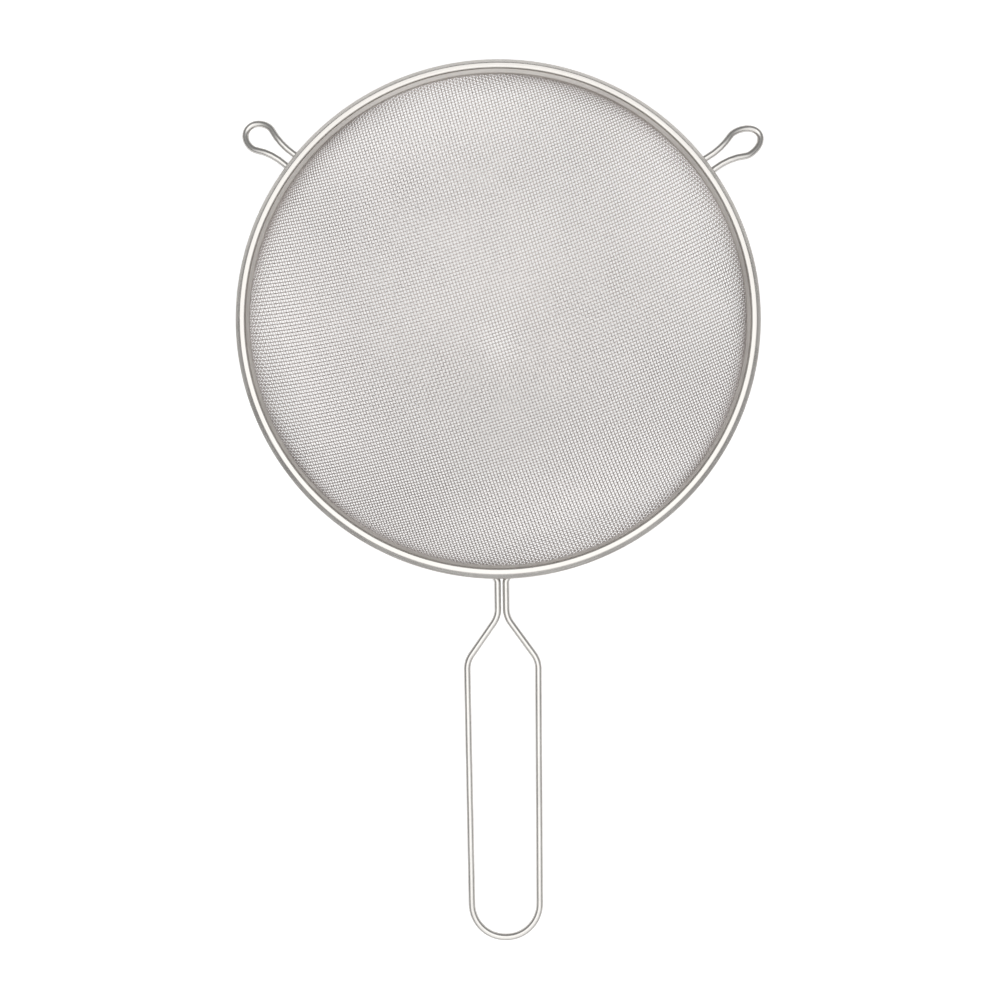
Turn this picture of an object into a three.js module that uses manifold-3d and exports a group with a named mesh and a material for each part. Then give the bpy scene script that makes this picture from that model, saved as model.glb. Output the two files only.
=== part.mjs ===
// Mesh strainer: a bowl of woven wire cloth held in a rolled rim, with a wire handle and two wire ears.
// Millimetres. +Z is up, out of the bowl's mouth, and the handle points along -Y.
// The origin is the lowest point of the bowl, on its axis.

import * as THREE from 'three';
import { mergeVertices } from 'three/addons/utils/BufferGeometryUtils.js';
import Module from 'manifold-3d';

const wasm = await Module();
wasm.setup();

// Driving dimensions
const rimDiameter = 260; // over the rolled bead
const rimRadius = rimDiameter / 2;
const clothDepth = 72; // from the cloth's edge under the rim to its lowest point
const sheet = 0.6; // strip of the rim
const frameWire = 3.3; // handle and ears
const fitGap = 0.3; // left between pieces that touch
const ringSegments = 56;

// Rolled rim: a band with its upper edge curled outwards round a core wire, into a leaning oval bead
const beadLong = 2.75; // half axes of the oval
const beadShort = 1.9;
const beadLean = THREE.MathUtils.degToRad(40); // of the long axis, down and outwards
const bandHeight = 7.5; // from its lower edge to the middle of the bead
const stepsToCrest = 2.5; // up the inside of the curl, so that one step lies level on the crest
const curlSteps = 10; // outside of the curl
const coreSteps = 6; // inside of the curl
const coreSides = 6;

// Clamp ring: an angle section that presses the cloth's edge against the band
const clampSheet = 0.5;
const flangeRise = 1.1; // its sloping flange, from the leg up to the bead
const flangeGap = 0.4; // the dark line between flange and bead

// Wire cloth: two sets of wires in plain weave, drawn with one wire in eight of the real cloth
const realPitch = 1.72;
const drawnEvery = 8;
const clothPitch = realPitch * drawnEvery;
const clothWire = 0.9;
const weaveAngle = THREE.MathUtils.degToRad(17.5);
const knuckleRadius = 45; // of the wall where it turns up to the rim
const hemThickness = 0.25;
const hemLipHeight = 2; // thick lower edge of the hem, which the wires grow out of
const hemReveal = 1.85; // cloth edge to the lower edge of the band
const footCut = 0.5; // worn flat at the lowest crossing
const clothSides = 4;
const crossingPasses = 8; // to settle each crossing of the net
const weaveLift = clothWire * Math.SQRT1_2 + fitGap / 2; // wire axis off the middle of the cloth

// Handle: one wire from foot to foot, with its corners at distances from the bowl's axis
const handleFootAngle = THREE.MathUtils.degToRad(6.4);
const neckHalfWidth = 2.05;
const neckEnd = rimRadius + 18.3;
const shoulderEnd = rimRadius + 39.9;
const gripEnd = rimRadius + 174.9;
const shoulderHalfWidth = 17.45;
const gripEndHalfWidth = 16.3;
const gripEndBend = 16.1;
const footBend = 4.2;
const shoulderBend = 12;
const footSteps = 3;
const wireSides = 8;
const bendStep = THREE.MathUtils.degToRad(20); // between points round a bend
const leastStep = 0.05; // between any two points

// Ears: one wire loop each, at an angle from the handle, leaning aside by a skew and hooked down at its end
const ears = [
  { name: 'ear_left', angle: -128.3, reach: rimRadius + 20.2, skew: -0.6, nose: 1.22 },
  { name: 'ear_right', angle: 125.55, reach: rimRadius + 20.7, skew: -2.8, nose: 1.56 },
]; // reach is where the loop is widest, and nose its length beyond that, in widths
const earLoopRadius = 6.85;
const earNeckHalfWidth = 3.4;
const earNeckLength = 16.6; // from the neck to where the loop is widest
const earFlare = THREE.MathUtils.degToRad(3.5); // of the legs from the neck back to the rim
const earFootAngle = THREE.MathUtils.degToRad(5.8);
const earFootBend = 3;
const earHookLength = 9; // bent down, short of where the loop is widest
const earHookAngle = THREE.MathUtils.degToRad(15);
const earHookBend = 10;

// Heights
const clothBottom = weaveLift + clothWire / 2 - footCut;
const clothEdge = clothBottom + clothDepth;
const bandBottom = clothEdge + hemReveal;
const beadHeight = bandBottom + bandHeight;
const beadHalfHeight = Math.hypot(beadLong * Math.sin(beadLean), beadShort * Math.cos(beadLean));
const frameHeight = beadHeight - beadHalfHeight - fitGap - frameWire / 2;
const clampCorner = beadHeight - flangeRise;
const hemTop = clampCorner - clampSheet - fitGap;
const lipBottom = clothEdge - hemLipHeight / 4;
const lipTop = bandBottom - fitGap;
const wireRootTop = clothEdge + hemReveal / 3;
const wireRootBottom = clothEdge - hemLipHeight / 2;
const highestCrossing = clothEdge - clothPitch / 3;
const hemZone = clothEdge - clothPitch; // above it the warp stays inside the weft

// Radii, from the outside in
const beadHalfWidth = Math.hypot(beadLong * Math.cos(beadLean), beadShort * Math.sin(beadLean));
const beadRadius = rimRadius - beadHalfWidth;
const bandInner = beadRadius - beadHalfWidth;
const bandOuter = bandInner + sheet;
const footRadius = bandOuter + fitGap + frameWire / 2;
const weftHemOuter = bandInner - fitGap;
const weftHemInner = weftHemOuter - hemThickness;
const warpHemOuter = weftHemInner - fitGap;
const warpHemInner = warpHemOuter - hemThickness;
const clampOuter = warpHemInner - fitGap;
const clampInner = clampOuter - clampSheet;
const hemLipOuter = bandOuter;
const hemLipInner = clampInner;
const warpRootRadius = (hemLipInner + warpHemOuter) / 2;
const weftRootRadius = (weftHemInner + hemLipOuter) / 2;

// Bowl profile: a crown arc that runs into a tighter knuckle arc, upright at the cloth's edge
const clothRadius = (warpHemOuter + weftHemInner) / 2;
const knuckleCentre = clothRadius - knuckleRadius;
const crownRadius = (clothDepth ** 2 + knuckleCentre ** 2 - knuckleRadius ** 2)
  / (2 * (clothDepth - knuckleRadius));
const crownSlope = Math.asin(knuckleCentre / (crownRadius - knuckleRadius));
const crownLength = crownRadius * crownSlope;
const edgeLength = crownLength + knuckleRadius * (Math.PI / 2 - crownSlope);
const lanesEachSide = Math.floor((edgeLength - clothPitch / 2) / clothPitch);

// Steel
const sheetSteel = new THREE.MeshStandardMaterial({ color: 0xcfcfcc, metalness: 1, roughness: 0.28 });
const wireSteel = new THREE.MeshStandardMaterial({ color: 0xd6d6d4, metalness: 1, roughness: 0.2 });
const clothSteel = new THREE.MeshStandardMaterial({ color: 0xc4c2bf, metalness: 1, roughness: 0.35 });

// Shared shapes
function bare(geometry) {
  const shape = new THREE.BufferGeometry();
  shape.setAttribute('position', geometry.getAttribute('position'));
  shape.setIndex(geometry.getIndex());
  return mergeVertices(shape, 1e-4);
}

function toManifold(geometry) {
  return new wasm.Manifold(new wasm.Mesh({
    numProp: 3,
    vertProperties: new Float32Array(geometry.getAttribute('position').array),
    triVerts: new Uint32Array(geometry.getIndex().array),
  }));
}

function fromManifold(manifold) {
  const { vertProperties, triVerts } = manifold.getMesh();
  const shape = new THREE.BufferGeometry();
  shape.setAttribute('position', new THREE.BufferAttribute(vertProperties, 3));
  shape.setIndex(new THREE.BufferAttribute(triVerts, 1));
  return shape;
}

// A hoop round the bowl's axis, from a closed section of [radius, height] listed anticlockwise
function hoop(section) {
  const profile = [...section, section[0]].map(([radius, height]) => new THREE.Vector2(radius, height));
  return bare(new THREE.LatheGeometry(profile, ringSegments).rotateX(Math.PI / 2));
}

// A point on the oval bead, drawn in by an inset
function beadPoint(inset, angle) {
  const along = (beadLong - inset) * Math.cos(angle);
  const up = (beadShort - inset) * Math.sin(angle);
  return [
    beadRadius + along * Math.cos(beadLean) + up * Math.sin(beadLean),
    beadHeight - along * Math.sin(beadLean) + up * Math.cos(beadLean),
  ];
}

// A wire's route, stepped only at the listed points
class WireRoute extends THREE.Curve {
  constructor(points) {
    super();
    this.points = points;
  }

  getPointAt(u, target = new THREE.Vector3()) {
    return target.copy(this.points[Math.round(u * (this.points.length - 1))]);
  }

  getTangentAt(u, target = new THREE.Vector3()) {
    const last = this.points.length - 1;
    const here = Math.round(u * last);
    target.set(0, 0, 0);
    for (const start of [here - 1, here]) {
      if (start >= 0 && start < last) {
        target.add(this.points[start + 1].clone().sub(this.points[start]).normalize());
      }
    }
    return target.normalize();
  }
}

// A section with flats at the wire's full size, so that one flat faces straight down
function wireSection(size, sides) {
  const corner = size / 2 / Math.cos(Math.PI / sides);
  const shape = new THREE.Shape();
  for (let i = 0; i < sides; i += 1) {
    const angle = ((i + 0.5) / sides) * 2 * Math.PI;
    const point = [corner * Math.cos(angle), corner * Math.sin(angle)];
    if (i === 0) shape.moveTo(...point);
    else shape.lineTo(...point);
  }
  return shape;
}

function sweep(points, size, sides) {
  return bare(new THREE.ExtrudeGeometry(wireSection(size, sides), {
    steps: points.length - 1,
    extrudePath: new WireRoute(points),
  }));
}

// A level wire bent at its corners, each {x, y, bend}
function bentRoute(corners) {
  const points = [];
  corners.forEach((corner, i) => {
    const here = new THREE.Vector2(corner.x, corner.y);
    if (!corner.bend) {
      points.push(here);
      return;
    }
    const toLast = new THREE.Vector2(corners[i - 1].x, corners[i - 1].y).sub(here).normalize();
    const toNext = new THREE.Vector2(corners[i + 1].x, corners[i + 1].y).sub(here).normalize();
    const half = Math.acos(toLast.dot(toNext)) / 2;
    const turn = Math.PI - 2 * half;
    const middle = toLast.clone().add(toNext).normalize();
    const centre = here.clone().addScaledVector(middle, corner.bend / Math.sin(half));
    const side = Math.sign(toLast.cross(toNext));
    const steps = Math.max(2, Math.round(turn / bendStep));
    for (let s = 0; s <= steps; s += 1) {
      const angle = side * turn * (s / steps - 0.5);
      const spoke = middle.clone().multiplyScalar(-corner.bend);
      points.push(spoke.rotateAround(new THREE.Vector2(), -angle).add(centre));
    }
  });
  return points.filter((point, i) => i === 0 || point.distanceTo(points[i - 1]) > leastStep);
}

// Half a wire's corners and their mirror image make the whole route, with y outwards from the axis
function mirroredRoute(halfCorners) {
  const mirrored = halfCorners.map(({ x, y, bend }) => ({ x: -x, y, bend })).reverse();
  return bentRoute([...halfCorners, ...mirrored]);
}

// A foot that follows the band under the bead, from its end in towards the wire's middle line
function footCorners(footAngle, innerHalfWidth, bend) {
  const innerAngle = Math.asin((innerHalfWidth + bend) / footRadius);
  const corners = [];
  for (let s = 0; s < footSteps; s += 1) {
    const angle = footAngle + ((innerAngle - footAngle) * s) / footSteps;
    corners.push({ x: footRadius * Math.sin(angle), y: footRadius * Math.cos(angle) });
  }
  return corners;
}

// Rim, core wire and clamp ring
function rimHoop() {
  const start = Math.PI + Math.atan2(beadShort * Math.sin(beadLean), beadLong * Math.cos(beadLean));
  const crest = Math.atan2(beadShort * Math.cos(beadLean), -beadLong * Math.sin(beadLean));
  const step = (start - crest) / stepsToCrest;
  const end = start - curlSteps * step;
  const section = [[bandInner, bandBottom], [bandOuter, bandBottom]];
  for (let s = 0; s <= coreSteps; s += 1) {
    section.push(beadPoint(sheet, start + ((end - start) * s) / coreSteps));
  }
  for (let s = curlSteps; s >= 0; s -= 1) {
    section.push(beadPoint(0, start - s * step));
  }
  return hoop(section);
}

function coreWire() {
  const radius = beadShort - sheet - fitGap;
  const section = [];
  for (let s = 0; s < coreSides; s += 1) {
    const angle = (s / coreSides) * 2 * Math.PI;
    section.push([beadRadius + radius * Math.cos(angle), beadHeight + radius * Math.sin(angle)]);
  }
  return hoop(section);
}

function clampRing() {
  const flangeEdge = bandInner - flangeGap;
  return hoop([
    [clampInner, bandBottom],
    [clampOuter, bandBottom],
    [clampOuter, clampCorner - clampSheet],
    [flangeEdge, beadHeight - clampSheet],
    [flangeEdge, beadHeight],
    [clampInner, clampCorner],
  ]);
}

// Cloth
// A place on the bowl, by its run along the profile from the lowest point and its turn round the axis
function bowlPlace(run, turn) {
  let slope = Math.PI / 2;
  let radius = clothRadius;
  let height = clothEdge + run - edgeLength;
  if (run <= crownLength) {
    slope = run / crownRadius;
    radius = crownRadius * Math.sin(slope);
    height = clothBottom + crownRadius * (1 - Math.cos(slope));
  } else if (run <= edgeLength) {
    slope = crownSlope + (run - crownLength) / knuckleRadius;
    radius = knuckleCentre + knuckleRadius * Math.sin(slope);
    height = clothEdge - knuckleRadius * Math.cos(slope);
  }
  const outwards = new THREE.Vector3(Math.cos(turn), Math.sin(turn), 0);
  const point = outwards.clone().multiplyScalar(radius).setZ(height);
  const uphill = outwards.clone().multiplyScalar(Math.cos(slope)).setZ(Math.sin(slope));
  const round = new THREE.Vector3(-point.y, point.x, 0);
  return { run, turn, slope, point, uphill, round };
}

// The crossing one pitch from each of two neighbours, by Newton's method from a first guess
function nextCrossing(first, second, run, turn) {
  let place = bowlPlace(run, turn);
  for (let pass = 0; pass < crossingPasses; pass += 1) {
    const toFirst = place.point.clone().sub(first.point);
    const toSecond = place.point.clone().sub(second.point);
    const missFirst = (toFirst.lengthSq() - clothPitch ** 2) / 2;
    const missSecond = (toSecond.lengthSq() - clothPitch ** 2) / 2;
    const [a, b] = [toFirst.dot(place.uphill), toFirst.dot(place.round)];
    const [c, d] = [toSecond.dot(place.uphill), toSecond.dot(place.round)];
    const area = a * d - b * c;
    place = bowlPlace(
      place.run - (d * missFirst - b * missSecond) / area,
      place.turn - (a * missSecond - c * missFirst) / area,
    );
  }
  return place;
}

// Crossings in a quarter of the bowl. Wires keep their pitch, so the cloth shears between the middle wires
function quarterNet() {
  const count = lanesEachSide + 2;
  const net = [];
  for (let i = 0; i <= count; i += 1) {
    net.push([]);
    for (let j = 0; j <= count; j += 1) {
      const [left, below, corner] = [net[i - 1]?.[j], net[i][j - 1], net[i - 1]?.[j - 1]];
      if (j === 0) net[i].push(bowlPlace(i * clothPitch, 0));
      else if (i === 0) net[i].push(bowlPlace(j * clothPitch, Math.PI / 2));
      else if (left && below && Math.max(left.run, below.run) < edgeLength + clothPitch) {
        const guess = left.point.clone().add(below.point).sub(corner.point);
        const run = left.run + below.run - corner.run;
        net[i].push(nextCrossing(left, below, run, Math.atan2(guess.y, guess.x)));
      } else net[i].push(null);
    }
  }
  return net;
}

const net = quarterNet();

// One wire of the cloth: over and under the wires it crosses, and up into the hem at both ends
function clothWireShape(lane, side, rootRadius) {
  const along = net.map((column) => column[Math.abs(lane)]).filter(Boolean);
  const crossings = along.filter(({ point }) => point.z < highestCrossing);
  const [last, beyond] = along.slice(crossings.length - 1);
  const rootPart = (edgeLength - last.run) / (beyond.run - last.run);
  const rootTurn = last.turn + (beyond.turn - last.turn) * rootPart;
  const half = crossings.map(({ point, slope, turn }, crossing) => {
    const over = point.z > hemZone || (lane + crossing) % 2 === 0 ? 1 : -1;
    const lift = side * over * weaveLift;
    const inwards = lift * Math.sin(slope);
    return point.clone().add(new THREE.Vector3(
      -inwards * Math.cos(turn),
      -inwards * Math.sin(turn),
      lift * Math.cos(slope),
    ));
  });
  for (const height of [wireRootBottom, wireRootTop]) {
    half.push(new THREE.Vector3(rootRadius * Math.cos(rootTurn), rootRadius * Math.sin(rootTurn), height));
  }
  const mirror = ({ x, y, z }) => new THREE.Vector3(-x, y, z);
  const points = [...half.slice(1).reverse().map(mirror), ...half];
  const wire = points.map(({ x, y, z }) => new THREE.Vector3(x, lane < 0 ? -y : y, z));
  return sweep(wire, clothWire, clothSides);
}

// One set of wires and the hem that holds their ends, cut level at the bottom of the bowl
function clothSet(turn, side, hemSection, rootRadius) {
  let set = toManifold(hoop(hemSection));
  for (let lane = -lanesEachSide; lane <= lanesEachSide; lane += 1) {
    set = set.add(toManifold(clothWireShape(lane, side, rootRadius).rotateZ(turn)));
  }
  const below = new THREE.BoxGeometry(rimDiameter, rimDiameter, rimDiameter);
  below.translate(0, 0, -rimDiameter / 2);
  return fromManifold(set.subtract(toManifold(bare(below))));
}

const warpHem = [
  [hemLipInner, lipBottom],
  [warpHemOuter, lipBottom],
  [warpHemOuter, hemTop],
  [warpHemInner, hemTop],
  [warpHemInner, lipTop],
  [hemLipInner, lipTop],
];
const weftHem = [
  [weftHemInner, lipBottom],
  [hemLipOuter, lipBottom],
  [hemLipOuter, lipTop],
  [weftHemOuter, lipTop],
  [weftHemOuter, hemTop],
  [weftHemInner, hemTop],
];

// Handle and ears
function handleLoop() {
  const route = mirroredRoute([
    ...footCorners(handleFootAngle, neckHalfWidth, footBend),
    { x: neckHalfWidth, y: footRadius, bend: footBend },
    { x: neckHalfWidth, y: neckEnd, bend: shoulderBend },
    { x: shoulderHalfWidth, y: shoulderEnd, bend: shoulderBend },
    { x: gripEndHalfWidth, y: gripEnd - frameWire / 2, bend: gripEndBend },
  ]);
  return sweep(route.map(({ x, y }) => new THREE.Vector3(x, -y, frameHeight)), frameWire, wireSides);
}

// How far an ear's wire has dropped, at a distance past the start of its hook
function hookDrop(distance) {
  const bendLength = earHookBend * Math.sin(earHookAngle);
  if (distance <= 0) return 0;
  if (distance < bendLength) return earHookBend - Math.sqrt(earHookBend ** 2 - distance ** 2);
  return earHookBend * (1 - Math.cos(earHookAngle)) + (distance - bendLength) * Math.tan(earHookAngle);
}

// An ear's legs flare from a neck both ways: back to the rim, and out in one sweep into the loop
function earLoop({ angle, reach, skew, nose }) {
  const neckBend = (earNeckLength ** 2 + earNeckHalfWidth ** 2 - earLoopRadius ** 2)
    / (2 * (earLoopRadius - earNeckHalfWidth));
  const splay = Math.asin(earNeckLength / (neckBend + earLoopRadius));
  const cornerReach = neckBend / Math.cos((splay + earFlare) / 2);
  const cornerAngle = (splay - earFlare) / 2;
  const cornerX = earNeckHalfWidth + neckBend - cornerReach * Math.cos(cornerAngle);
  const cornerY = reach - earNeckLength + cornerReach * Math.sin(cornerAngle);
  const footX = cornerX + (cornerY - footRadius) * Math.tan(earFlare);
  const tip = reach + earLoopRadius;
  const route = mirroredRoute([
    ...footCorners(earFootAngle, footX, earFootBend),
    { x: footX, y: footRadius, bend: earFootBend },
    { x: cornerX, y: cornerY, bend: neckBend },
    { x: cornerX + (tip - cornerY) * Math.tan(splay), y: tip, bend: earLoopRadius },
  ]);
  const lean = Math.tan(THREE.MathUtils.degToRad(skew));
  const points = route.map(({ x, y }) => {
    const aside = Math.max(0, y - footRadius) * lean;
    const out = y > reach ? reach + (y - reach) * nose : y;
    return new THREE.Vector3(x + aside, -out, frameHeight - hookDrop(out - reach + earHookLength));
  });
  return sweep(points, frameWire, wireSides).rotateZ(THREE.MathUtils.degToRad(angle));
}

// Assembly
const strainer = new THREE.Group();
strainer.name = 'mesh_strainer';

function place(name, geometry, material) {
  const mesh = new THREE.Mesh(geometry, material);
  mesh.name = name;
  strainer.add(mesh);
}

place('rim_hoop', rimHoop(), sheetSteel);
place('rim_core_wire', coreWire(), wireSteel);
place('clamp_ring', clampRing(), sheetSteel);
place('mesh_warp', clothSet(weaveAngle, 1, warpHem, warpRootRadius), clothSteel);
place('mesh_weft', clothSet(weaveAngle + Math.PI / 2, -1, weftHem, weftRootRadius), clothSteel);
place('handle_loop', handleLoop(), wireSteel);
for (const ear of ears) {
  place(ear.name, earLoop(ear), wireSteel);
}

export default strainer;
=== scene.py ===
"""Looks of a mesh strainer: woven wire bowl, rolled rim, bent-wire handle and two wire ears."""
import math

import bmesh
import bpy
from bpy.props import FloatProperty, FloatVectorProperty, IntProperty, PointerProperty
from mathutils import Matrix, Vector


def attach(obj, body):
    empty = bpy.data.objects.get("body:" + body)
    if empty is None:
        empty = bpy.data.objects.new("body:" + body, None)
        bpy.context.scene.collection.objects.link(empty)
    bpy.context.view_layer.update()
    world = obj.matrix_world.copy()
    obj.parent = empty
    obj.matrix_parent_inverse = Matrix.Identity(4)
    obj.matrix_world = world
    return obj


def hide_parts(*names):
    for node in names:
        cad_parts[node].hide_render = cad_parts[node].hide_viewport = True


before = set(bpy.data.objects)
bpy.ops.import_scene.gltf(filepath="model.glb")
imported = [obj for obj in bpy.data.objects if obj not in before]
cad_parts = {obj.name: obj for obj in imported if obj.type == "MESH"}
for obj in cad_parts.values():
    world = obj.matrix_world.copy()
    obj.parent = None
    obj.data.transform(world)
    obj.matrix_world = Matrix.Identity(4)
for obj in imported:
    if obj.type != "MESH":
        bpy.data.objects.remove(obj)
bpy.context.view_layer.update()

bl_info = {
    "name": "Mesh strainer",
    "version": (1, 0, 0),
    "blender": (4, 5, 0),
    "location": "3D View > Sidebar > Strainer",
    "description": "Builds a wire mesh strainer with its rim, handle, ears and studio",
    "category": "Object",
}

ROOT_BODY = "root"
MM = 0.001
SHARP_EDGE = math.radians(45.0)
MERGE_DISTANCE = 1e-6

# Roundness of a wire: its section has four sides, and two more for each step of roundness
CLOTH_WIRE_ROUNDNESS = 2
BENT_WIRE_ROUNDNESS = 8
CORE_WIRE_SIDES = 12

# Share of the pitch for which a cloth wire stays level on each side of a crossing
LEVEL_SHARE = 0.25

# Spot welds: shares of a foot's length, half sizes along, out of and up the band, and their set off it
WELD_PLACES = (0.55, 0.85)
WELD_SIZE = (1.5 * MM, 0.45 * MM, 1.0 * MM)
WELD_SET = 0.15 * MM

# Steel: size of its stains, share of its lines in its tone, stretch of lines round the rim, depth of relief
STAIN_SCALE = 45.0
LINE_SHARE = 0.4
RING_STRETCH = 0.002
RELIEF_DEPTH = 0.2 * MM
EDGE_TINT = (0.5, 0.49, 0.48, 1.0)

# Light of the dome from its rim to its crown, as cosine of the angle to its axis and brightness
DOME_TONES = ((0.0, 0.21), (0.3, 0.24), (0.55, 0.37), (0.75, 0.93), (1.0, 1.0))
WHITE = (1.0, 1.0, 1.0, 1.0)
CAMERA_RANGE = 20.0


def length(name, description, millimetres):
    """Return a length property from its size in millimetres."""
    return FloatProperty(name=name, description=description, default=millimetres * MM,
                         unit="LENGTH", subtype="DISTANCE", precision=5)


def angle(name, description, degrees):
    """Return an angle property from its size in degrees."""
    return FloatProperty(name=name, description=description, default=math.radians(degrees),
                         unit="ROTATION", subtype="ANGLE")


def count(name, description, value):
    """Return a whole-number property."""
    return IntProperty(name=name, description=description, default=value, min=1)


def number(name, description, value):
    """Return a plain-number property."""
    return FloatProperty(name=name, description=description, default=value, min=0.0)


def colour(name, description, red, green, blue):
    """Return a colour property."""
    return FloatVectorProperty(name=name, description=description, default=(red, green, blue),
                               size=3, min=0.0, max=1.0, subtype="COLOR")


class RimSettings(bpy.types.PropertyGroup):
    """Sizes of the rolled rim, its core wire and the clamp ring."""

    diameter: length("Diameter", "Over the rolled bead", 259.86)
    bead_width: length("Bead width", "Band's inside to the outside of the bead", 4.87)
    bead_height: length("Bead height", "Middle of the bead above the bowl's lowest point", 82.015)
    bead_top: length("Bead top", "Land on top of the bead above its middle", 2.29)
    land: length("Land", "Width of the level top of the bead to its outer corner", 2.6)
    flank: angle("Flank", "Slope of the bead's outer side", 43.0)
    flank_drop: length("Flank drop", "Land to the lower corner of the flank", 2.56)
    curl_drop: length("Curl drop", "Middle of the bead to the corner under it", 2.3)
    curl_end: length("Curl end", "Band's inside to the end of the curl", 1.2)
    inner_bend: length("Inner bend", "Bend from band to land", 0.8)
    land_bend: length("Land bend", "Bend from land to flank", 0.7)
    flank_bend: length("Flank bend", "Bend from flank to the underside", 0.8)
    sheet: length("Sheet", "Thickness of the strip", 0.6)
    band_height: length("Band", "Lower edge of the band to the middle of the bead", 7.5)
    core_wire: length("Core wire", "Diameter of the wire inside the bead", 2.0)
    flange_gap: length("Flange gap", "Groove between clamp ring and bead", 0.3)
    clamp_inner: length("Clamp ring", "Inner radius of the clamp ring", 123.23)
    clamp_sheet: length("Clamp sheet", "Thickness of the clamp ring", 0.5)
    clamp_bend: length("Clamp bend", "Bend from the clamp ring's leg to its flange", 0.8)
    clamp_leg: length("Clamp leg", "Lower edge of the clamp ring to the middle of the bead", 3.6)
    flange: angle("Flange", "Slope of the clamp ring's flange up to the bead", 48.0)
    flange_top: length("Flange top", "Upper edge of the flange above the middle of the bead", 1.15)
    steps: count("Steps", "Steps round the rim", 288)


class ClothSettings(bpy.types.PropertyGroup):
    """Sizes of the woven wire cloth."""

    warp_pitch: length("Warp pitch", "Spacing of the warp wires", 1.775)
    weft_pitch: length("Weft pitch", "Spacing of the weft wires", 1.674)
    wire: length("Wire", "Diameter of the cloth's wire", 0.48)
    crimp: length("Crimp", "Swing of each wire to both sides of the cloth's middle", 0.22)
    weave_angle: angle("Weave angle", "Warp direction from the X axis", 17.5)
    radius: length("Radius", "Middle of the cloth at its edge", 124.43)
    edge_height: length("Edge height", "Where the cloth turns upright under the rim", 75.5)
    bottom_height: length("Bottom height", "Middle of the cloth at its lowest point", 0.5)
    knuckle: length("Knuckle", "Radius of the wall where it turns up to the rim", 30.0)
    hem_top: length("Hem top", "Upper end of the wires between band and clamp ring", 80.1)
    bundles: count("Bundles", "Pieces that each set of wires is made in", 6)


class HandleSettings(bpy.types.PropertyGroup):
    """Sizes of the bent-wire handle."""

    turn: angle("Turn", "Set of the handle off the middle line", -0.1)
    wire: length("Wire", "Diameter of the wire", 3.3)
    height: length("Height", "Middle of the wire above the bowl's lowest point", 77.847)
    foot_radius: length("Foot radius", "Middle of the foot from the bowl's axis", 127.68)
    foot_angle: angle("Foot angle", "Length of each foot round the rim", 6.4)
    foot_bend: length("Foot bend", "Bend from foot to neck", 4.2)
    neck_half: length("Neck", "Half the spacing of the wires in the neck", 2.05)
    neck_end: length("Neck end", "Corner of neck and shoulder from the axis", 148.3)
    shoulder_bend: length("Shoulder bend", "Bends at both ends of the shoulder", 12.0)
    shoulder_half: length("Shoulder", "Half the spacing where the grip starts", 17.45)
    shoulder_end: length("Shoulder end", "Corner of shoulder and grip from the axis", 169.9)
    grip_half: length("Grip", "Half the spacing where the grip ends", 16.3)
    grip_bend: length("Grip bend", "Bends at the end of the grip", 16.1)
    grip_end: length("Grip end", "Outside of the grip's end from the axis", 304.89)


class EarSettings(bpy.types.PropertyGroup):
    """Sizes of the two wire ears, which share the handle's wire and height."""

    left_angle: angle("Left", "Left ear from the handle", -128.3)
    left_reach: length("Left reach", "Widest part of the left loop from the axis", 150.2)
    left_skew: angle("Left skew", "Lean of the left ear aside", -0.6)
    left_nose: number("Left nose", "Length of the left loop's end, in half widths", 1.22)
    right_angle: angle("Right", "Right ear from the handle", 125.55)
    right_reach: length("Right reach", "Widest part of the right loop from the axis", 150.7)
    right_skew: angle("Right skew", "Lean of the right ear aside", -2.8)
    right_nose: number("Right nose", "Length of the right loop's end, in half widths", 1.56)
    loop_radius: length("Loop", "Half the loop's width at the middle of the wire", 6.85)
    neck_half: length("Neck", "Half the spacing of the legs at the neck", 3.4)
    neck_length: length("Neck length", "Neck to the widest part of the loop", 16.6)
    flare: angle("Flare", "Spread of the legs from the neck back to the rim", 3.5)
    foot_angle: angle("Foot angle", "Length of each foot round the rim", 5.8)
    foot_bend: length("Foot bend", "Bend from foot to leg", 3.0)
    hook_length: length("Hook", "Start of the hook before the widest part of the loop", 9.0)
    hook_angle: angle("Hook angle", "Slope of the hooked end", 15.0)
    hook_bend: length("Hook bend", "Bend at the start of the hook", 10.0)


class StageSettings(bpy.types.PropertyGroup):
    """Camera and light."""

    distance: length("Distance", "Camera to the point it looks at", 1050.0)
    look_x: length("Look aside", "Point looked at across the handle", -0.45)
    look_y: length("Look at", "Point looked at along the handle, on the rim's level", -91.19)
    tilt: angle("Tilt", "Camera's lean from straight above, towards the handle", 4.866)
    roll: angle("Roll", "Turn of the camera about its own axis", -0.844)
    view: angle("View", "Field of view", 26.314)
    floor: length("Floor", "Side of the floor", 1800.0)
    dome_forward: angle("Dome forward", "Lean of the bright dome towards the handle", 26.0)
    dome_aside: angle("Dome aside", "Lean of the bright dome to the right", 3.0)
    dome_light: number("Dome light", "Brightness of the dome's crown", 1.45)
    lamp_size: length("Lamp size", "Diameter of the soft lamp", 1600.0)
    lamp_power: number("Lamp power", "Power of the soft lamp in watts", 3.0)
    lamp_aside: length("Lamp aside", "Place of the soft lamp across the handle", -150.0)
    lamp_back: length("Lamp back", "Place of the soft lamp away from the handle", 250.0)
    lamp_height: length("Lamp height", "Height of the soft lamp above the floor", 1900.0)
    floor_glow: number("Floor glow", "White that the floor adds where it is seen", 0.33)


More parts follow.
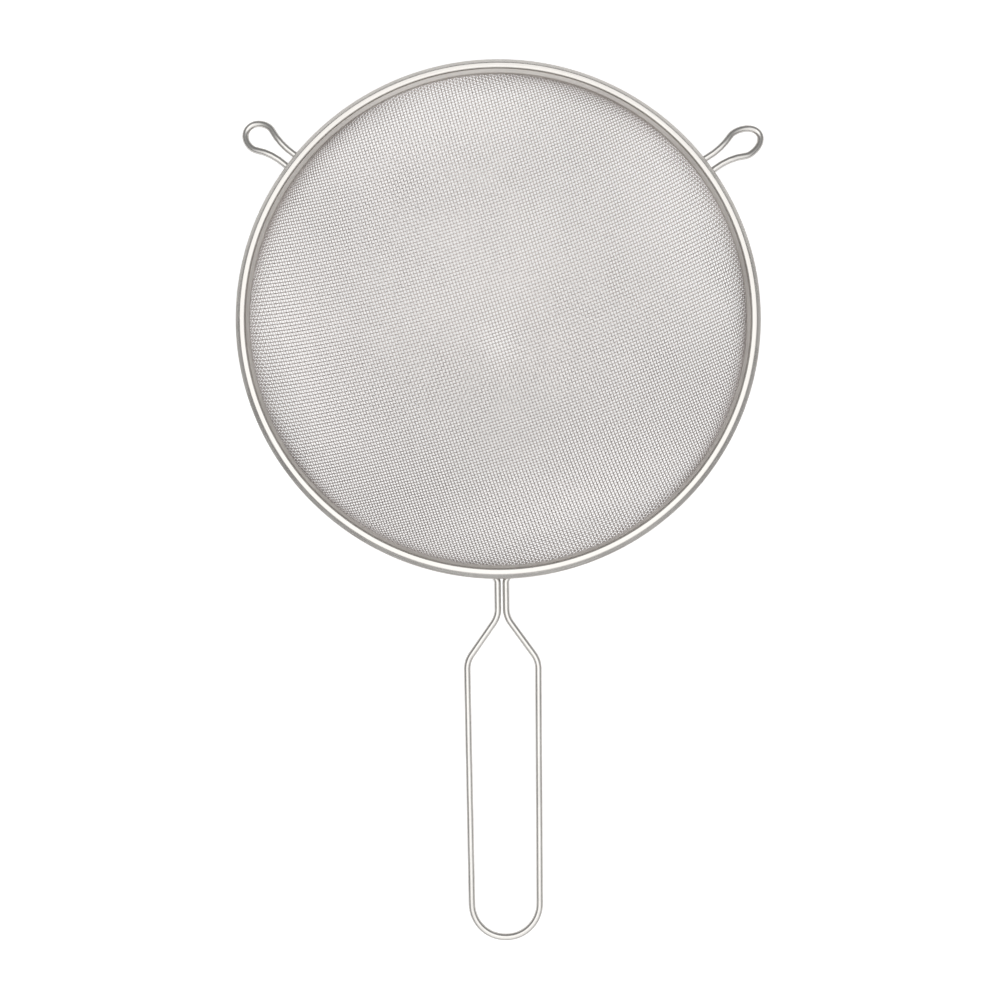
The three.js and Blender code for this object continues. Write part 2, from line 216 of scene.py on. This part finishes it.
class FinishSettings(bpy.types.PropertyGroup):
    """Colours of the steel, each in its darker and its brighter patches, and of the floor."""

    rim_dark: colour("Rim, dark", "Rolled strip of the rim", 0.55, 0.53, 0.505)
    rim_bright: colour("Rim, bright", "Rolled strip of the rim", 0.65, 0.63, 0.60)
    clamp_dark: colour("Clamp ring, dark", "Satin strip of the clamp ring", 0.66, 0.63, 0.60)
    clamp_bright: colour("Clamp ring, bright", "Satin strip of the clamp ring", 0.78, 0.75, 0.715)
    wire_dark: colour("Wire, dark", "Drawn wire of handle, ears and core", 0.55, 0.535, 0.515)
    wire_bright: colour("Wire, bright", "Drawn wire of handle, ears and core", 0.66, 0.645, 0.62)
    cloth_dark: colour("Cloth, dark", "Fine wire of the cloth", 0.545, 0.505, 0.488)
    cloth_bright: colour("Cloth, bright", "Fine wire of the cloth", 0.645, 0.60, 0.58)
    weld_straw: colour("Weld, straw", "Straw heat tint of the welds", 0.42, 0.34, 0.24)
    weld_blue: colour("Weld, blue", "Blue heat tint of the welds", 0.44, 0.47, 0.54)
    floor: colour("Floor", "Paper under the strainer", 0.9, 0.9, 0.9)


# Materials
def add_node(tree, kind, **values):
    """Add a shader node and set its input values by name."""
    node = tree.nodes.new(kind)
    for name, value in values.items():
        node.inputs[name.replace("_", " ")].default_value = value
    return node


def maths(tree, operation, first, second=None):
    """Add a Math node and return its result, with sockets or numbers as inputs."""
    node = tree.nodes.new("ShaderNodeMath")
    node.operation = operation
    for socket, value in zip(node.inputs, (first, second)):
        if isinstance(value, bpy.types.NodeSocket):
            tree.links.new(value, socket)
        elif value is not None:
            socket.default_value = value
    return node.outputs[0]


def ramp(tree, factor, stops):
    """Add a colour ramp with (position, grey or colour) stops and return its colour."""
    node = tree.nodes.new("ShaderNodeValToRGB")
    elements = node.color_ramp.elements
    while len(elements) < len(stops):
        elements.new(0.5)
    for element, (position, tone) in zip(elements, stops):
        element.position = position
        element.color = (tone, tone, tone, 1.0) if isinstance(tone, float) else (*tone, 1.0)
    tree.links.new(factor, node.inputs[0])
    return node.outputs[0]


def noise(tree, vector, scale, detail=4.0):
    """Add a noise texture on a vector and return its value."""
    node = add_node(tree, "ShaderNodeTexNoise", Scale=scale, Detail=detail)
    tree.links.new(vector, node.inputs["Vector"])
    return node.outputs["Fac"]


def ring_vector(tree, position, along):
    """Return coordinates of radius, height and a slow angle, so that noise draws lines round the rim."""
    parts = tree.nodes.new("ShaderNodeSeparateXYZ")
    tree.links.new(position, parts.inputs[0])
    radius = maths(tree, "SQRT", maths(tree, "ADD", maths(tree, "POWER", parts.outputs[0], 2.0),
                                       maths(tree, "POWER", parts.outputs[1], 2.0)))
    turn = maths(tree, "MULTIPLY", maths(tree, "ARCTAN2", parts.outputs[1], parts.outputs[0]), along)
    joined = tree.nodes.new("ShaderNodeCombineXYZ")
    for socket, value in zip(joined.inputs, (radius, parts.outputs[2], turn)):
        tree.links.new(value, socket)
    return joined.outputs[0]


def steel(name, colours, roughness, line_scale, bump, round_rim):
    """Stainless steel with fine drawn lines, faint stains and worn, uneven gloss."""
    material = bpy.data.materials.new(name)
    material.use_nodes = True
    tree = material.node_tree
    shader = tree.nodes["Principled BSDF"]
    position = tree.nodes.new("ShaderNodeTexCoord").outputs["Object"]
    drawn = ring_vector(tree, position, RING_STRETCH) if round_rim else position
    lines = noise(tree, drawn, line_scale)
    stains = noise(tree, position, STAIN_SCALE)
    blend = maths(tree, "ADD", maths(tree, "MULTIPLY", lines, LINE_SHARE),
                  maths(tree, "MULTIPLY", stains, 1.0 - LINE_SHARE))
    tree.links.new(ramp(tree, blend, ((0.3, colours[0]), (0.7, colours[1]))), shader.inputs["Base Color"])
    gloss = ramp(tree, blend, ((0.25, roughness[0]), (0.75, roughness[1])))
    tree.links.new(gloss, shader.inputs["Roughness"])
    relief = add_node(tree, "ShaderNodeBump", Strength=bump, Distance=RELIEF_DEPTH)
    tree.links.new(lines, relief.inputs["Height"])
    tree.links.new(relief.outputs[0], shader.inputs["Normal"])
    shader.inputs["Metallic"].default_value = 1.0
    shader.inputs["Specular Tint"].default_value = EDGE_TINT
    return material


def rim_steel(finish):
    """Polished strip with rolling lines round the rim."""
    colours = (finish.rim_dark, finish.rim_bright)
    return steel("rim_steel", colours, roughness=(0.2, 0.34), line_scale=2600.0, bump=0.15, round_rim=True)


def clamp_steel(finish):
    """Satin strip of the clamp ring, brighter and less polished than the rim."""
    colours = (finish.clamp_dark, finish.clamp_bright)
    return steel("clamp_steel", colours, roughness=(0.42, 0.55), line_scale=2600.0, bump=0.15, round_rim=True)


def wire_steel(finish):
    """Bright drawn wire."""
    colours = (finish.wire_dark, finish.wire_bright)
    return steel("wire_steel", colours, roughness=(0.14, 0.26), line_scale=900.0, bump=0.08, round_rim=False)


def cloth_steel(finish):
    """Fine wire with the slightly warm grey of the cloth."""
    colours = (finish.cloth_dark, finish.cloth_bright)
    return steel("cloth_steel", colours, roughness=(0.22, 0.38), line_scale=700.0, bump=0.05, round_rim=False)


def weld_steel(finish):
    """Spot-weld metal with a straw and blue heat tint."""
    colours = (finish.weld_straw, finish.weld_blue)
    return steel("weld_steel", colours, roughness=(0.25, 0.5), line_scale=1500.0, bump=0.4, round_rim=False)


# Shared shapes
def finish_piece(name, mesh, material, slot, *nodes):
    """Make a finished piece from a mesh, in its place under the root body, and hide the parts of the model
    that it stands for.
    """
    mesh.name = name
    mesh.materials.clear()
    mesh.materials.append(material)
    mesh.shade_smooth()
    mesh.set_sharp_from_angle(angle=SHARP_EDGE)
    piece = bpy.data.objects.new(name, mesh)
    bpy.context.collection.objects.link(piece)
    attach(piece, ROOT_BODY)
    if nodes:
        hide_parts(*nodes)
    return piece


def spun_ring(section, steps):
    """Spin a closed section of (radius, height) points round the Z axis into a mesh."""
    shape = bmesh.new()
    corners = [shape.verts.new((radius, 0.0, height)) for radius, height in section]
    edges = [shape.edges.new(pair) for pair in zip(corners, corners[1:] + corners[:1])]
    bmesh.ops.spin(shape, geom=corners + edges, axis=(0.0, 0.0, 1.0), cent=(0.0, 0.0, 0.0),
                   angle=2.0 * math.pi, steps=steps, use_merge=True)
    bmesh.ops.remove_doubles(shape, verts=shape.verts, dist=MERGE_DISTANCE)
    bmesh.ops.recalc_face_normals(shape, faces=shape.faces)
    mesh = bpy.data.meshes.new("ring")
    shape.to_mesh(mesh)
    shape.free()
    return mesh


def arc(centre, radius, start, end, steps):
    """Return (radius, height) points on an arc between two angles."""
    turns = [start + (end - start) * step / steps for step in range(steps + 1)]
    return [(centre[0] + radius * math.cos(turn), centre[1] + radius * math.sin(turn)) for turn in turns]


def wire_mesh(routes, diameter, resolution):
    """Draw round wires along lists of points and return them as one mesh."""
    curve = bpy.data.curves.new("wires", "CURVE")
    curve.dimensions = "3D"
    curve.bevel_depth = diameter / 2.0
    curve.bevel_resolution = resolution
    curve.use_fill_caps = True
    for route in routes:
        spline = curve.splines.new("POLY")
        spline.points.add(len(route) - 1)
        spline.points.foreach_set("co", [value for point in route for value in (*point, 1.0)])
        spline.use_smooth = True
    drawn = bpy.data.objects.new("wires", curve)
    mesh = bpy.data.meshes.new_from_object(drawn)
    bpy.data.objects.remove(drawn)
    bpy.data.curves.remove(curve)
    return mesh


def bent_route(corners, step_angle=math.radians(6.0)):
    """Round the corners of a level route, each (x, y, bend radius)."""
    points = []
    for index, (x, y, bend) in enumerate(corners):
        here = Vector((x, y))
        if not bend:
            points.append(here)
            continue
        to_last = (Vector(corners[index - 1][:2]) - here).normalized()
        to_next = (Vector(corners[index + 1][:2]) - here).normalized()
        half = to_last.angle(to_next) / 2.0
        turn = math.pi - 2.0 * half
        middle = (to_last + to_next).normalized()
        centre = here + middle * bend / math.sin(half)
        side = math.copysign(1.0, to_last.cross(to_next))
        steps = max(2, round(turn / step_angle))
        for step in range(steps + 1):
            spoke = middle * -bend
            spoke.rotate(Matrix.Rotation(-side * turn * (step / steps - 0.5), 2))
            points.append(centre + spoke)
    return points


def mirrored_route(half):
    """Join half a level route to its mirror image and round its corners."""
    return bent_route(half + [(-x, y, bend) for x, y, bend in reversed(half)])


def drawn_in(corners, inset):
    """Move an open route of corners to its right by an inset."""
    tightest = inset / 4.0
    places = [Vector((x, y)) for x, y, bend in corners]
    ways = [(end - start).normalized() for start, end in zip(places, places[1:])]
    sides = [Vector((way.y, -way.x)) for way in ways]
    moved = []
    for (x, y, bend), before, after in zip(corners, sides[:1] + sides, sides + sides[-1:]):
        shift = (before + after) * inset / (1.0 + before.dot(after))
        moved.append((x + shift.x, y + shift.y, max(bend - inset, tightest) if bend else 0.0))
    return moved


def sheet_section(corners, sheet):
    """Return the closed section of a bent sheet from the corners of its outer side."""
    return bent_route(corners) + list(reversed(bent_route(drawn_in(corners, sheet))))


def foot_corners(radius, foot_angle, inner_half, bend, steps=8):
    """Return corners of a foot that follows the band, from its end in towards the bend."""
    inner = math.asin((inner_half + bend) / radius)
    turns = [foot_angle + (inner - foot_angle) * step / steps for step in range(steps)]
    return [(radius * math.sin(turn), radius * math.cos(turn), 0.0) for turn in turns]


def spot_welds(name, foot_angle, turn, scene):
    """Press two oval weld nuggets between each foot of a wire and the band."""
    rim = scene.strainer_rim
    shape = bmesh.new()
    band_outer = rim.diameter / 2.0 - rim.bead_width + rim.sheet
    for side in (-1.0, 1.0):
        for part in WELD_PLACES:
            place = Matrix.Rotation(turn + side * foot_angle * part, 4, "Z")
            place = place @ Matrix.Translation((0.0, -band_outer - WELD_SET, scene.strainer_handle.height))
            place = place @ Matrix.Diagonal((*WELD_SIZE, 1.0))
            bmesh.ops.create_icosphere(shape, subdivisions=3, radius=1.0, matrix=place)
    mesh = bpy.data.meshes.new(name)
    shape.to_mesh(mesh)
    shape.free()
    return finish_piece(name, mesh, weld_steel(scene.strainer_finish), "wire_steel")


# Rim
class STRAINER_OT_rim(bpy.types.Operator):
    """Build the rolled rim, its core wire and the clamp ring."""

    bl_idname = "strainer.rim"
    bl_label = "Rim"

    def execute(self, context):
        rim = context.scene.strainer_rim
        finish = context.scene.strainer_finish
        band_inner = rim.diameter / 2.0 - rim.bead_width
        band_bottom = rim.bead_height - rim.band_height
        top = rim.bead_height + rim.bead_top
        under = rim.bead_height - rim.curl_drop
        flank_end = band_inner + rim.land + rim.flank_drop / math.tan(rim.flank)
        bead = [(band_inner, band_bottom, 0.0), (band_inner, top, rim.inner_bend),
                (band_inner + rim.land, top, rim.land_bend),
                (flank_end, top - rim.flank_drop, rim.flank_bend),
                (band_inner + rim.bead_width / 2.0, under, rim.flank_bend),
                (band_inner + rim.curl_end, under, 0.0)]
        mesh = spun_ring(sheet_section(bead, rim.sheet), rim.steps)
        finish_piece("rim_bead", mesh, rim_steel(finish), "rim_steel", "rim_hoop")
        middle = (band_inner + rim.bead_width / 2.0, rim.bead_height)
        core = arc(middle, rim.core_wire / 2.0, 0.0, 2.0 * math.pi, CORE_WIRE_SIDES)[:-1]
        mesh = spun_ring(core, rim.steps)
        finish_piece("core_wire", mesh, wire_steel(finish), "wire_steel", "rim_core_wire")
        flange_edge = band_inner - rim.flange_gap
        flange_top = rim.bead_height + rim.flange_top
        flange_rise = (flange_edge - rim.clamp_inner) * math.tan(rim.flange)
        clamp = [(rim.clamp_inner, rim.bead_height - rim.clamp_leg, 0.0),
                 (rim.clamp_inner, flange_top - flange_rise, rim.clamp_bend),
                 (flange_edge, flange_top, 0.0)]
        mesh = spun_ring(sheet_section(clamp, rim.clamp_sheet), rim.steps)
        finish_piece("clamp_angle", mesh, clamp_steel(finish), "rim_steel", "clamp_ring")
        return {"FINISHED"}


# Wire cloth
class Bowl:
    """Profile of the cloth: a crown arc that runs into a tighter knuckle arc, upright at the edge."""

    def __init__(self, cloth):
        self.radius = cloth.radius
        self.edge = cloth.edge_height
        self.bottom = cloth.bottom_height
        self.knuckle = cloth.knuckle
        depth = self.edge - self.bottom
        self.centre = self.radius - self.knuckle
        self.crown = (depth ** 2 + self.centre ** 2 - self.knuckle ** 2) / (2.0 * (depth - self.knuckle))
        self.turnover = math.asin(self.centre / (self.crown - self.knuckle))
        self.crown_length = self.crown * self.turnover
        self.edge_length = self.crown_length + self.knuckle * (math.pi / 2.0 - self.turnover)

    def place(self, run, turn):
        """Return the place at a run along the profile from the lowest point and a turn round the axis."""
        slope = math.pi / 2.0
        radius = self.radius
        height = self.edge + run - self.edge_length
        if run <= self.crown_length:
            slope = run / self.crown
            radius = self.crown * math.sin(slope)
            height = self.bottom + self.crown * (1.0 - math.cos(slope))
        elif run <= self.edge_length:
            slope = self.turnover + (run - self.crown_length) / self.knuckle
            radius = self.centre + self.knuckle * math.sin(slope)
            height = self.edge - self.knuckle * math.cos(slope)
        return Place(run, turn, slope, radius, height)


class Place:
    """A place on the bowl, with its directions uphill, round the axis and out of the wall."""

    def __init__(self, run, turn, slope, radius, height):
        across = Vector((math.cos(turn), math.sin(turn), 0.0))
        upwards = Vector((0.0, 0.0, 1.0))
        self.run = run
        self.turn = turn
        self.point = across * radius + upwards * height
        self.uphill = across * math.cos(slope) + upwards * math.sin(slope)
        self.round = Vector((-self.point.y, self.point.x, 0.0))
        self.inwards = upwards * math.cos(slope) - across * math.sin(slope)


def next_crossing(bowl, left, below, corner, pitches, passes=5):
    """Find the crossing one pitch from each of two neighbours by Newton's method."""
    guess = left.point + below.point - corner.point
    place = bowl.place(left.run + below.run - corner.run, math.atan2(guess.y, guess.x))
    for _ in range(passes):
        to_left = place.point - left.point
        to_below = place.point - below.point
        miss = Vector((to_left.length_squared - pitches[0] ** 2,
                       to_below.length_squared - pitches[1] ** 2)) / 2.0
        slopes = Matrix(((to_left.dot(place.uphill), to_left.dot(place.round)),
                         (to_below.dot(place.uphill), to_below.dot(place.round))))
        step = slopes.inverted() @ miss
        place = bowl.place(place.run - step.x, place.turn - step.y)
    return place


def quarter_net(bowl, pitches, longest):
    """Lay a quarter of the net of crossings on the bowl, with every wire keeping its pitch."""
    columns = int(longest / pitches[0]) + 1
    rows = int(longest / pitches[1]) + 1
    net = [[bowl.place(row * pitches[1], math.pi / 2.0) for row in range(rows)]]
    for index in range(1, columns):
        last = net[-1]
        column = [bowl.place(index * pitches[0], 0.0)]
        while len(column) < len(last) and max(column[-1].run, last[len(column)].run) < longest:
            column.append(next_crossing(bowl, last[len(column)], column[-1], last[len(column) - 1], pitches))
        net.append(column)
    return net


def half_wire(places, lane, lift, edge_length):
    """Route half a wire outwards from the bowl's middle line, over and under the wires it crosses."""
    route = []
    for crossing, place in enumerate(places):
        over = lift if (lane + crossing) % 2 == 0 else -lift
        if place.run > edge_length:
            over = 0.0
        for neighbour in (crossing - 1, crossing + 1):
            if 0 <= neighbour < len(places):
                level = place.point.lerp(places[neighbour].point, LEVEL_SHARE)
                route.append(level + place.inwards * over)
    return route


def whole_wires(lanes, crimp, edge_length, flip_along, flip_lane):
    """Route a set of wires from its halves in a quarter of the bowl, mirrored along and across the set."""
    routes = []
    for lane, places in enumerate(lanes):
        half = half_wire(places, lane, crimp, edge_length)
        route = [flip_along @ point for point in reversed(half)] + half
        routes.append(route)
        if lane > 0:
            routes.append([flip_lane @ point for point in route])
    return routes


class STRAINER_OT_cloth(bpy.types.Operator):
    """Weave the wire cloth of the bowl from two crossing sets of wires."""

    bl_idname = "strainer.cloth"
    bl_label = "Wire cloth"

    def execute(self, context):
        cloth = context.scene.strainer_cloth
        bowl = Bowl(cloth)
        material = cloth_steel(context.scene.strainer_finish)
        longest = bowl.edge_length + cloth.hem_top - cloth.edge_height
        net = quarter_net(bowl, (cloth.weft_pitch, cloth.warp_pitch), longest)
        spin = Matrix.Rotation(cloth.weave_angle, 3, "Z")
        flip_x = Matrix.Diagonal((-1.0, 1.0, 1.0))
        flip_y = Matrix.Diagonal((1.0, -1.0, 1.0))
        warp = [[column[row] for column in net if row < len(column)] for row in range(len(net[0]))]
        sets = (("warp", warp, cloth.crimp, flip_x, flip_y), ("weft", net, -cloth.crimp, flip_y, flip_x))
        for name, lanes, crimp, flip_along, flip_lane in sets:
            routes = whole_wires(lanes, crimp, bowl.edge_length, flip_along, flip_lane)
            routes = [[spin @ point for point in route] for route in routes]
            size = math.ceil(len(routes) / cloth.bundles)
            for bundle in range(cloth.bundles):
                wires = routes[bundle * size:(bundle + 1) * size]
                mesh = wire_mesh(wires, cloth.wire, CLOTH_WIRE_ROUNDNESS)
                finish_piece(f"{name}_wires_{bundle + 1}", mesh, material, "cloth_steel", f"mesh_{name}")
        return {"FINISHED"}


# Handle and ears
class STRAINER_OT_handle(bpy.types.Operator):
    """Bend the handle from one wire and weld its feet under the bead."""

    bl_idname = "strainer.handle"
    bl_label = "Handle"

    def execute(self, context):
        handle = context.scene.strainer_handle
        half = foot_corners(handle.foot_radius, handle.foot_angle, handle.neck_half, handle.foot_bend)
        half += [(handle.neck_half, handle.foot_radius, handle.foot_bend),
                 (handle.neck_half, handle.neck_end, handle.shoulder_bend),
                 (handle.shoulder_half, handle.shoulder_end, handle.shoulder_bend),
                 (handle.grip_half, handle.grip_end - handle.wire / 2.0, handle.grip_bend)]
        spin = Matrix.Rotation(handle.turn, 3, "Z")
        route = [spin @ Vector((point.x, -point.y, handle.height)) for point in mirrored_route(half)]
        mesh = wire_mesh([route], handle.wire, BENT_WIRE_ROUNDNESS)
        material = wire_steel(context.scene.strainer_finish)
        finish_piece("handle_wire", mesh, material, "wire_steel", "handle_loop")
        spot_welds("handle_welds", handle.foot_angle, handle.turn, context.scene)
        return {"FINISHED"}


def hook_drop(distance, ears):
    """Return how far an ear's wire has dropped at a distance past the start of its hook."""
    bend_length = ears.hook_bend * math.sin(ears.hook_angle)
    if distance <= 0.0:
        return 0.0
    if distance < bend_length:
        return ears.hook_bend - math.sqrt(ears.hook_bend ** 2 - distance ** 2)
    bend_drop = ears.hook_bend * (1.0 - math.cos(ears.hook_angle))
    return bend_drop + (distance - bend_length) * math.tan(ears.hook_angle)


def ear_corners(ears, reach, foot_radius):
    """Return half an ear's corners: legs that flare from a neck to the rim and out into the loop."""
    neck_bend = (ears.neck_length ** 2 + ears.neck_half ** 2 - ears.loop_radius ** 2) / (
        2.0 * (ears.loop_radius - ears.neck_half))
    splay = math.asin(ears.neck_length / (neck_bend + ears.loop_radius))
    corner_reach = neck_bend / math.cos((splay + ears.flare) / 2.0)
    corner_angle = (splay - ears.flare) / 2.0
    corner_x = ears.neck_half + neck_bend - corner_reach * math.cos(corner_angle)
    corner_y = reach - ears.neck_length + corner_reach * math.sin(corner_angle)
    foot_half = corner_x + (corner_y - foot_radius) * math.tan(ears.flare)
    tip = reach + ears.loop_radius
    half = foot_corners(foot_radius, ears.foot_angle, foot_half, ears.foot_bend)
    return half + [(foot_half, foot_radius, ears.foot_bend), (corner_x, corner_y, neck_bend),
                   (corner_x + (tip - corner_y) * math.tan(splay), tip, ears.loop_radius)]


class STRAINER_OT_ears(bpy.types.Operator):
    """Bend both ears from wire and weld their feet under the bead."""

    bl_idname = "strainer.ears"
    bl_label = "Ears"

    def execute(self, context):
        handle = context.scene.strainer_handle
        ears = context.scene.strainer_ears
        sides = (("left", ears.left_angle, ears.left_reach, ears.left_skew, ears.left_nose),
                 ("right", ears.right_angle, ears.right_reach, ears.right_skew, ears.right_nose))
        for name, turn, reach, skew, nose in sides:
            spin = Matrix.Rotation(turn, 3, "Z")
            route = []
            for point in mirrored_route(ear_corners(ears, reach, handle.foot_radius)):
                aside = max(0.0, point.y - handle.foot_radius) * math.tan(skew)
                out = point.y + max(0.0, point.y - reach) * (nose - 1.0)
                drop = hook_drop(out - reach + ears.hook_length, ears)
                route.append(spin @ Vector((point.x + aside, -out, handle.height - drop)))
            mesh = wire_mesh([route], handle.wire, BENT_WIRE_ROUNDNESS)
            material = wire_steel(context.scene.strainer_finish)
            finish_piece(f"{name}_ear_wire", mesh, material, "wire_steel", f"ear_{name}")
            spot_welds(f"{name}_ear_welds", ears.foot_angle, turn, context.scene)
        return {"FINISHED"}


# Studio
def floor_material(paper, glow):
    """White floor: lit like a sheet of paper, with the rest of its white added as its own light."""
    material = bpy.data.materials.new("floor_white")
    material.use_nodes = True
    tree = material.node_tree
    shader = tree.nodes["Principled BSDF"]
    shader.inputs["Base Color"].default_value = (*paper, 1.0)
    shader.inputs["Roughness"].default_value = 1.0
    shader.inputs["Specular IOR Level"].default_value = 0.0
    path = tree.nodes.new("ShaderNodeLightPath")
    seen = maths(tree, "MAXIMUM", path.outputs["Is Camera Ray"], path.outputs["Is Glossy Ray"])
    seen = maths(tree, "MAXIMUM", seen, path.outputs["Is Transmission Ray"])
    shader.inputs["Emission Color"].default_value = WHITE
    tree.links.new(maths(tree, "MULTIPLY", seen, glow), shader.inputs["Emission Strength"])
    return material


def studio_world(forward, aside, light):
    """Bright overhead dome that fades to a dark horizon, and plain white where the camera sees it."""
    world = bpy.data.worlds.new("studio")
    world.use_nodes = True
    tree = world.node_tree
    sky = tree.nodes["Background"]
    sky.inputs["Color"].default_value = WHITE
    facing = tree.nodes.new("ShaderNodeVectorMath")
    facing.operation = "DOT_PRODUCT"
    axis = Vector((math.sin(aside), -math.sin(forward), math.cos(forward)))
    facing.inputs[1].default_value = axis.normalized()
    tree.links.new(tree.nodes.new("ShaderNodeTexCoord").outputs["Generated"], facing.inputs[0])
    dome = ramp(tree, facing.outputs["Value"], DOME_TONES)
    seen = tree.nodes.new("ShaderNodeLightPath").outputs["Is Camera Ray"]
    strength = maths(tree, "MULTIPLY", dome, light)
    tree.links.new(maths(tree, "MAXIMUM", strength, seen), sky.inputs["Strength"])
    return world


class STRAINER_OT_stage(bpy.types.Operator):
    """Set up the white floor, the soft light and the camera of the photograph."""

    bl_idname = "strainer.stage"
    bl_label = "Studio"

    def execute(self, context):
        stage = context.scene.strainer_stage
        rim = context.scene.strainer_rim
        shape = bmesh.new()
        bmesh.ops.create_grid(shape, x_segments=1, y_segments=1, size=stage.floor / 2.0)
        mesh = bpy.data.meshes.new("floor")
        shape.to_mesh(mesh)
        shape.free()
        mesh.materials.append(floor_material(context.scene.strainer_finish.floor, stage.floor_glow))
        floor = bpy.data.objects.new("floor", mesh)
        lamp = bpy.data.lights.new("softbox", "AREA")
        lamp.shape = "DISK"
        lamp.size = stage.lamp_size
        lamp.energy = stage.lamp_power
        softbox = bpy.data.objects.new("softbox", lamp)
        softbox.location = (stage.lamp_aside, stage.lamp_back, stage.lamp_height)
        softbox.rotation_euler = (softbox.location * -1.0).to_track_quat("-Z", "Y").to_euler()
        view = bpy.data.cameras.new("camera")
        view.angle = stage.view
        view.clip_end = CAMERA_RANGE
        camera = bpy.data.objects.new("camera", view)
        lean = Matrix.Rotation(stage.tilt, 3, "X")
        looked_at = Vector((stage.look_x, stage.look_y, rim.bead_height))
        camera.location = looked_at + lean @ Vector((0.0, 0.0, stage.distance))
        camera.rotation_euler = (lean @ Matrix.Rotation(stage.roll, 3, "Z")).to_euler()
        for item in (floor, softbox, camera):
            context.collection.objects.link(item)
        context.scene.camera = camera
        context.scene.world = studio_world(stage.dome_forward, stage.dome_aside, stage.dome_light)
        context.scene.view_settings.view_transform = "Standard"
        return {"FINISHED"}


# Panel and registration
class STRAINER_PT_panel(bpy.types.Panel):
    """Sidebar panel with the strainer's sizes and its building steps."""

    bl_idname = "STRAINER_PT_panel"
    bl_label = "Mesh strainer"
    bl_space_type = "VIEW_3D"
    bl_region_type = "UI"
    bl_category = "Strainer"

    def draw(self, context):
        for operator in OPERATORS:
            self.layout.operator(operator.bl_idname)
        for name in SETTINGS:
            group = getattr(context.scene, name)
            box = self.layout.box()
            for key in group.bl_rna.properties.keys():
                if key not in ("rna_type", "name"):
                    box.prop(group, key)


SETTINGS = {
    "strainer_rim": RimSettings,
    "strainer_cloth": ClothSettings,
    "strainer_handle": HandleSettings,
    "strainer_ears": EarSettings,
    "strainer_stage": StageSettings,
    "strainer_finish": FinishSettings,
}
OPERATORS = (STRAINER_OT_rim, STRAINER_OT_cloth, STRAINER_OT_handle, STRAINER_OT_ears, STRAINER_OT_stage)


def register():
    """Register the settings, operators and panel."""
    for name, group in SETTINGS.items():
        bpy.utils.register_class(group)
        setattr(bpy.types.Scene, name, PointerProperty(type=group))
    for cls in (*OPERATORS, STRAINER_PT_panel):
        bpy.utils.register_class(cls)


def unregister():
    """Take the panel, operators and settings out again."""
    for cls in (STRAINER_PT_panel, *reversed(OPERATORS)):
        bpy.utils.unregister_class(cls)
    for name, group in SETTINGS.items():
        delattr(bpy.types.Scene, name)
        bpy.utils.unregister_class(group)


def main():
    """Build the strainer and its studio."""
    register()
    bpy.ops.strainer.rim()
    bpy.ops.strainer.cloth()
    bpy.ops.strainer.handle()
    bpy.ops.strainer.ears()
    bpy.ops.strainer.stage()


if __name__ == "__main__":
    main()
